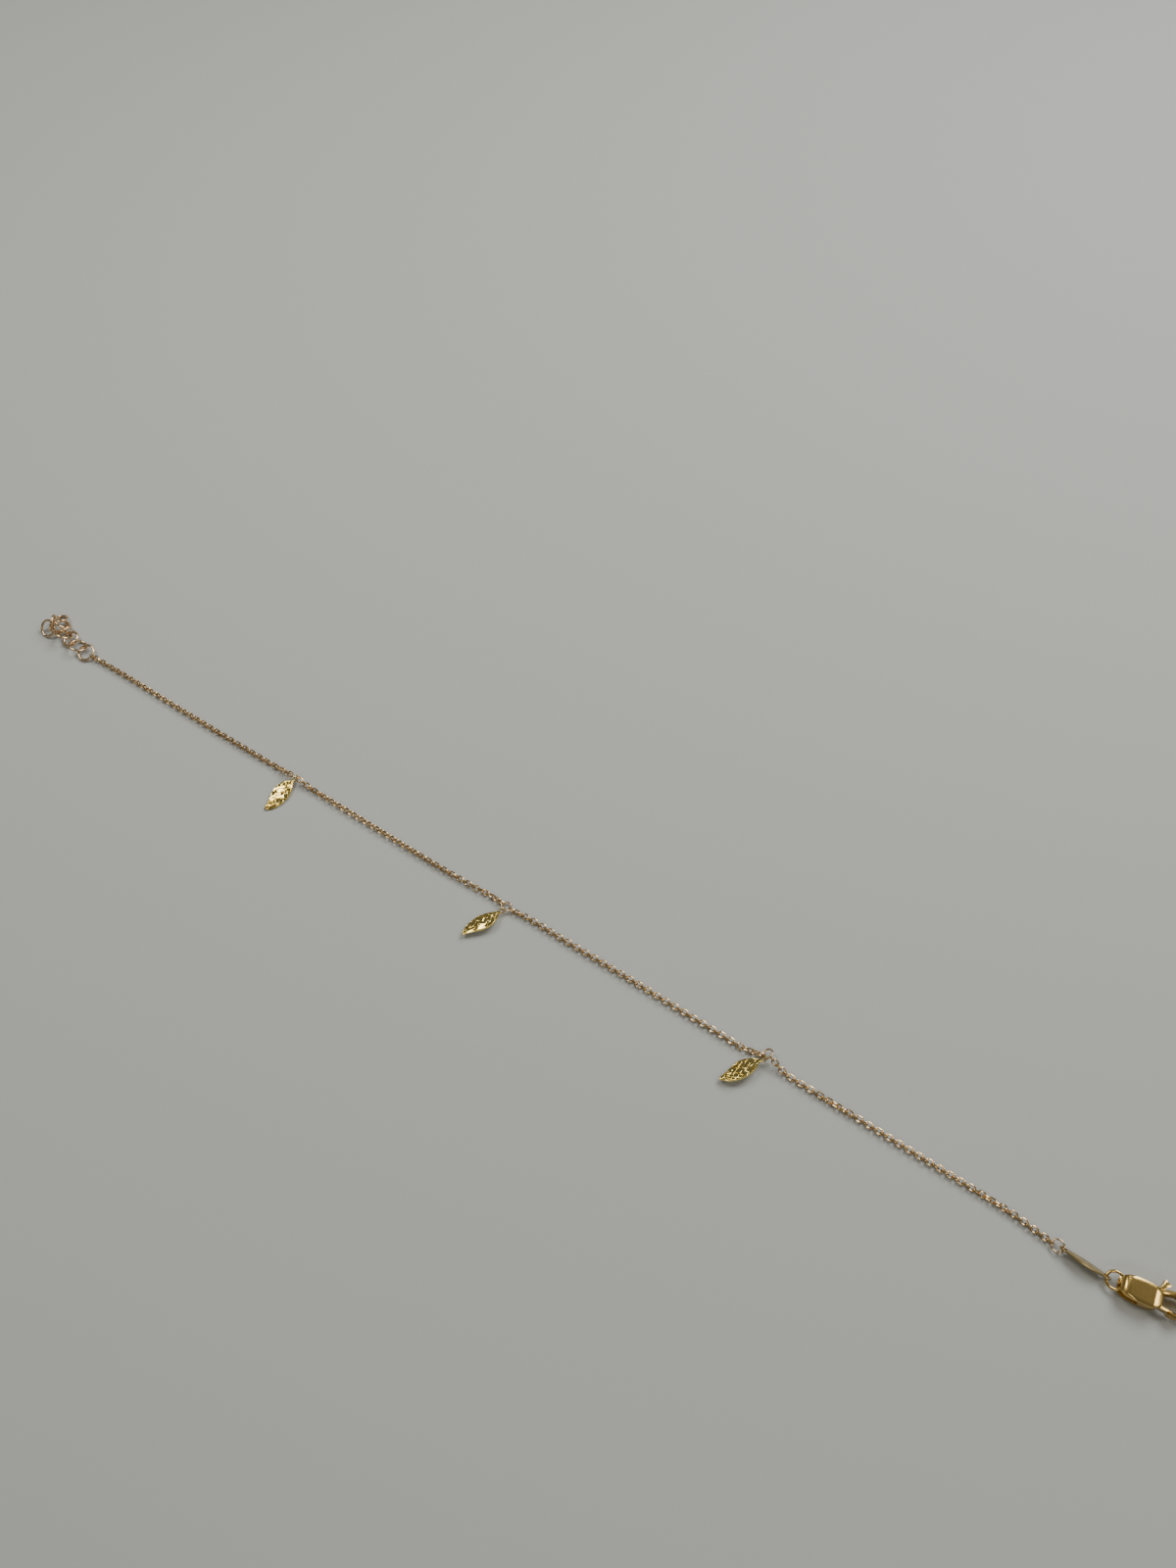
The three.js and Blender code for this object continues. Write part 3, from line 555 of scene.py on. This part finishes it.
def facet_lattice():
    """A flat sheet of diamonds as long and wide as the leaf, with its end at the origin."""
    bm = bmesh.new()
    bmesh.ops.create_grid(bm, x_segments=FACET_COLUMNS, y_segments=FACET_ROWS, size=0.5)
    size = Matrix.Diagonal((LEAF_WIDTH * MM, LEAF_LENGTH * MM, 1, 1))
    bmesh.ops.transform(bm, matrix=size @ Matrix.Translation((0, -0.5, 0)), verts=bm.verts)
    squares = list(bm.edges)
    bmesh.ops.poke(bm, faces=bm.faces)
    inner = [edge for edge in squares if len(edge.link_faces) == 2]
    bmesh.ops.dissolve_edges(bm, edges=inner, use_verts=False)
    bmesh.ops.recalc_face_normals(bm, faces=bm.faces)
    if sum(face.normal.z for face in bm.faces) < 0:
        bmesh.ops.reverse_faces(bm, faces=bm.faces)
    return bm


def leaf_plate(relief):
    bm = facet_lattice()
    for number, vert in enumerate(vert for vert in bm.verts if not vert.is_boundary):
        spin = number * DRIFT_TURN + number ** 2
        vert.co += Vector((math.cos(spin), math.sin(spin), 0)) * FACET_DRIFT * MM
    facets = list(bm.faces)
    bmesh.ops.inset_individual(
        bm, faces=facets, thickness=relief["wall"] * MM, depth=relief["rise"] * MM, use_even_offset=True)
    for number, facet in enumerate(facets):
        spin = number * TIP_TURN
        axis = Vector((math.cos(spin), math.sin(spin), 0))
        tip = relief["tip"] * (TIP_LEAST + (1 - TIP_LEAST) * ((number * 7) % 11) / 10)
        middle = facet.calc_center_median()
        turn = Matrix.Rotation(math.radians(tip), 3, axis)
        bmesh.ops.rotate(bm, verts=facet.verts, cent=middle, matrix=turn)
    rim = [edge for edge in bm.edges if edge.is_boundary]
    edge_wall = bmesh.ops.extrude_edge_only(bm, edges=rim)["geom"]
    under = [item for item in edge_wall if isinstance(item, bmesh.types.BMVert)]
    bmesh.ops.translate(bm, vec=(0, 0, -LEAF_THICKNESS * MM), verts=under)
    bmesh.ops.holes_fill(bm, edges=[edge for edge in bm.edges if edge.is_boundary], sides=0)
    back = [face for face in bm.faces if len(face.verts) > 4]
    bmesh.ops.triangulate(bm, faces=back)
    for vert in bm.verts:
        across, along = vert.co.x / (LEAF_WIDTH / 2 * MM), -vert.co.y / (LEAF_LENGTH * MM)
        along = min(1.0, max(0.0, along))
        fullness = leaf_share("full" if across > 0 else "hollow", along)
        crown = relief["crown"] * min(1.0, leaf_share("full", along)) * (1 - across * across)
        vert.co.x *= fullness
        vert.co.z = vert.co.z * min(1.0, POINT_THICKNESS + fullness) + crown * MM
    return bm


leaf_reliefs = {
    "leaf_1": {"wall": 0.13, "rise": 0.08, "tip": 8.0, "crown": 0.20},
    "leaf_2": {"wall": 0.055, "rise": 0.022, "tip": 8.0, "crown": 0.16},
    "leaf_3": {"wall": 0.05, "rise": 0.022, "tip": 8.0, "crown": 0.10},
}

# %% Hang the leaves on their rings
REST_GAP = 0.05
EYE_PLAY = 0.06
STEM_BEVEL = 0.09
STEM_LAP = LEAF_LENGTH / 13
DIP_RANGE = (-4.0, 14.0)
DIP_HALVINGS = 24
leaf_holds = {
    "leaf_1": {"ring": "leaf_ring_1", "angle": 90, "heading": -5, "roll": 2, "mirror": False},
    "leaf_2": {"ring": "leaf_ring_2", "angle": 268, "heading": -23, "roll": -22, "mirror": True},
    "leaf_3": {"ring": "leaf_ring_3", "angle": 266, "heading": -34, "roll": -27, "mirror": False},
}


def hang_leaf(name):
    pose = leaf_holds[name]
    start = LEAF_EYE["outer"] / 2 + LEAF_STEM["length"]
    bm = leaf_plate(leaf_reliefs[name])
    bmesh.ops.translate(bm, vec=Vector((0, -start, LEAF_THICKNESS / 2)) * MM, verts=bm.verts)
    if pose["mirror"]:
        bmesh.ops.transform(bm, matrix=Matrix.Diagonal((-1, 1, 1, 1)), verts=bm.verts)
    eye = bmesh.new()
    spun_ring(eye, LEAF_EYE["outer"], LEAF_EYE["wire"], steps=32, wire_steps=10)
    bmesh.ops.rotate(eye, verts=eye.verts, matrix=Matrix.Rotation(math.pi / 2, 3, "Y"))
    stem_length = STEM_LAP + LEAF_STEM["length"] + LEAF_EYE["wire"] / 2
    stem = bmesh.ops.create_cube(eye, size=1.0)
    middle = Vector((0, -(start + STEM_LAP) + stem_length / 2, 0)) * MM
    shape = Matrix.Diagonal((LEAF_STEM["width"] * MM, stem_length * MM, LEAF_THICKNESS * MM, 1))
    bmesh.ops.transform(eye, matrix=Matrix.Translation(middle) @ shape, verts=stem["verts"])
    stem_edges = list({edge for vert in stem["verts"] for edge in vert.link_edges})
    bmesh.ops.bevel(
        eye, geom=stem_edges, offset=STEM_BEVEL * MM, affect="EDGES", segments=2, profile=0.5, material=-1)
    joined = bpy.data.meshes.new("eye")
    eye.to_mesh(joined)
    eye.free()
    bm.from_mesh(joined)
    bpy.data.meshes.remove(joined)

    hold, _ = ring_hold(pose["ring"], pose["angle"])
    heading = Matrix.Rotation(math.radians(pose["heading"]), 4, "Z")
    roll = Matrix.Rotation(math.radians(pose["roll"]), 4, "Y")
    play = LEAF_EYE["outer"] / 2 - LEAF_EYE["wire"] - JUMP["wire"] / 2 - EYE_PLAY
    middle = hold + heading @ Vector((0, -play / 2, 0)) * MM
    # The leaf dips until its lowest point almost touches the table.
    level, steep = DIP_RANGE
    for _ in range(DIP_HALVINGS):
        drop = (level + steep) / 2
        turn = heading @ Matrix.Rotation(math.radians(drop), 4, "X") @ roll
        lowest = min((turn @ vert.co).z for vert in bm.verts) + middle.z
        level, steep = (drop, steep) if lowest > REST_GAP * MM else (level, drop)
    bmesh.ops.transform(bm, matrix=Matrix.Translation(middle) @ turn, verts=bm.verts)
    print(name, "dips", round(level, 2), "degrees")
    made = piece(f"{name}_cut", bm, leaf_gold, smooth=0)
    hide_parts(name)


for leaf_name in leaf_holds:
    hang_leaf(leaf_name)

# %% [markdown]
# ## Tag and clasp
#
# The tag and the clasp's three parts already have their shapes in the model. Real ones have no
# knife edges, because they are tumbled and polished, so each part is copied, its loose triangles are
# merged, and its edges are broken by a narrow bevel that catches the light as a bright line.

# %% Break the edges
polished_parts = {
    "tag": {"finish": "tag", "body": "anklet", "bevel": 0.05, "slot": "tag", "smooth": 30.0},
    "clasp_body": {"finish": "clasp", "body": "anklet", "bevel": 0.05, "slot": "clasp", "smooth": 35.0},
    "clasp_lever": {"finish": "clasp", "body": "lever", "bevel": 0.05, "slot": "clasp", "smooth": 35.0},
    "clasp_pin": {"finish": "clasp", "body": "anklet", "bevel": 0.03, "slot": "clasp", "smooth": 35.0},
}
# The tag's and the clasp's golds are darkened copies of the gold: painted shade, besides their real
# finish.
shaded_part_golds = {"tag": shaded_tag_gold, "clasp": shaded_clasp_gold}
SHARP_ANGLE = 38
print("polished parts:", len(polished_parts))

# %% Shape the clasp's cheeks
CLASP_MIDDLE = 1.5
CLASP_HEADING = 7.0
CLASP_BODY_END = 6.5
SLOT_HALF = 0.65
CHEEK_RISE = 0.85
HEAD_SLOPE = {"from": 5.0, "degrees": 13.0}
ON_CREASE = 1e-6

# How full the shoulders of the cheeks are, at distances from the clasp's tail.
shoulders = [(0.0, 1.6), (1.2, 2.4), (2.4, 3.0), (6.5, 3.0)]
clasp_way = Matrix.Rotation(math.radians(CLASP_HEADING), 3, "Z") @ Vector((1, 0, 0))


def shape_cheeks(bm):
    """Fills out the shoulders of the clasp's domed cheeks and slopes their ends at the hook."""
    tail = min(vert.co.dot(clasp_way) for vert in bm.verts)
    crease = (tail + HEAD_SLOPE["from"] * MM) * clasp_way
    whole = bm.verts[:] + bm.edges[:] + bm.faces[:]
    bmesh.ops.bisect_plane(bm, geom=whole, plane_co=crease, plane_no=clasp_way)
    slope = math.tan(math.radians(HEAD_SLOPE["degrees"]))
    for vert in bm.verts:
        along = (vert.co.dot(clasp_way) - tail) / MM
        height = vert.co.z / MM - CLASP_MIDDLE
        rise = min((abs(height) - SLOT_HALF) / CHEEK_RISE, 1.0)
        if along > CLASP_BODY_END or rise <= 0:
            continue
        for (start, low), (end, high) in zip(shoulders, shoulders[1:]):
            if start <= along <= end:
                fullness = low + (high - low) * (along - start) / (end - start)
        filled = 1 - (1 - rise) ** fullness
        drop = slope * max(0.0, along - HEAD_SLOPE["from"]) * filled
        vert.co.z = (CLASP_MIDDLE + math.copysign(SLOT_HALF + CHEEK_RISE * filled - drop, height)) * MM
    return crease


def crisp_edges(made, crease):
    """Keeps the line where the cheeks begin to slope as a sharp line."""
    data = made.data
    for edge in data.edges:
        if all(abs((data.vertices[i].co - crease).dot(clasp_way)) < ON_CREASE for i in edge.vertices):
            edge.use_edge_sharp = True

# %% Polish the parts


def polish(name):
    part = polished_parts[name]
    bm = bmesh.new()
    bm.from_mesh(nodes[name].data)
    bmesh.ops.remove_doubles(bm, verts=bm.verts, dist=1e-7)
    bmesh.ops.dissolve_limit(
        bm, angle_limit=math.radians(0.6), verts=bm.verts, edges=bm.edges, use_dissolve_boundaries=False)
    crease = shape_cheeks(bm) if name == "clasp_body" else None
    sharp = [
        edge for edge in bm.edges
        if len(edge.link_faces) == 2 and edge.calc_face_angle(0) > math.radians(SHARP_ANGLE)]
    bmesh.ops.bevel(
        bm, geom=sharp, offset=part["bevel"] * MM, affect="EDGES", segments=2, profile=0.5, material=-1,
        clamp_overlap=True)
    # The part's gold, with painted shade in its darker colour.
    finish = shaded_part_golds[part["finish"]]
    made = piece(f"{name}_polished", bm, finish, body=part["body"], smooth=part["smooth"])
    if crease:
        crisp_edges(made, crease)
    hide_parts(name)


for part_name in polished_parts:
    polish(part_name)
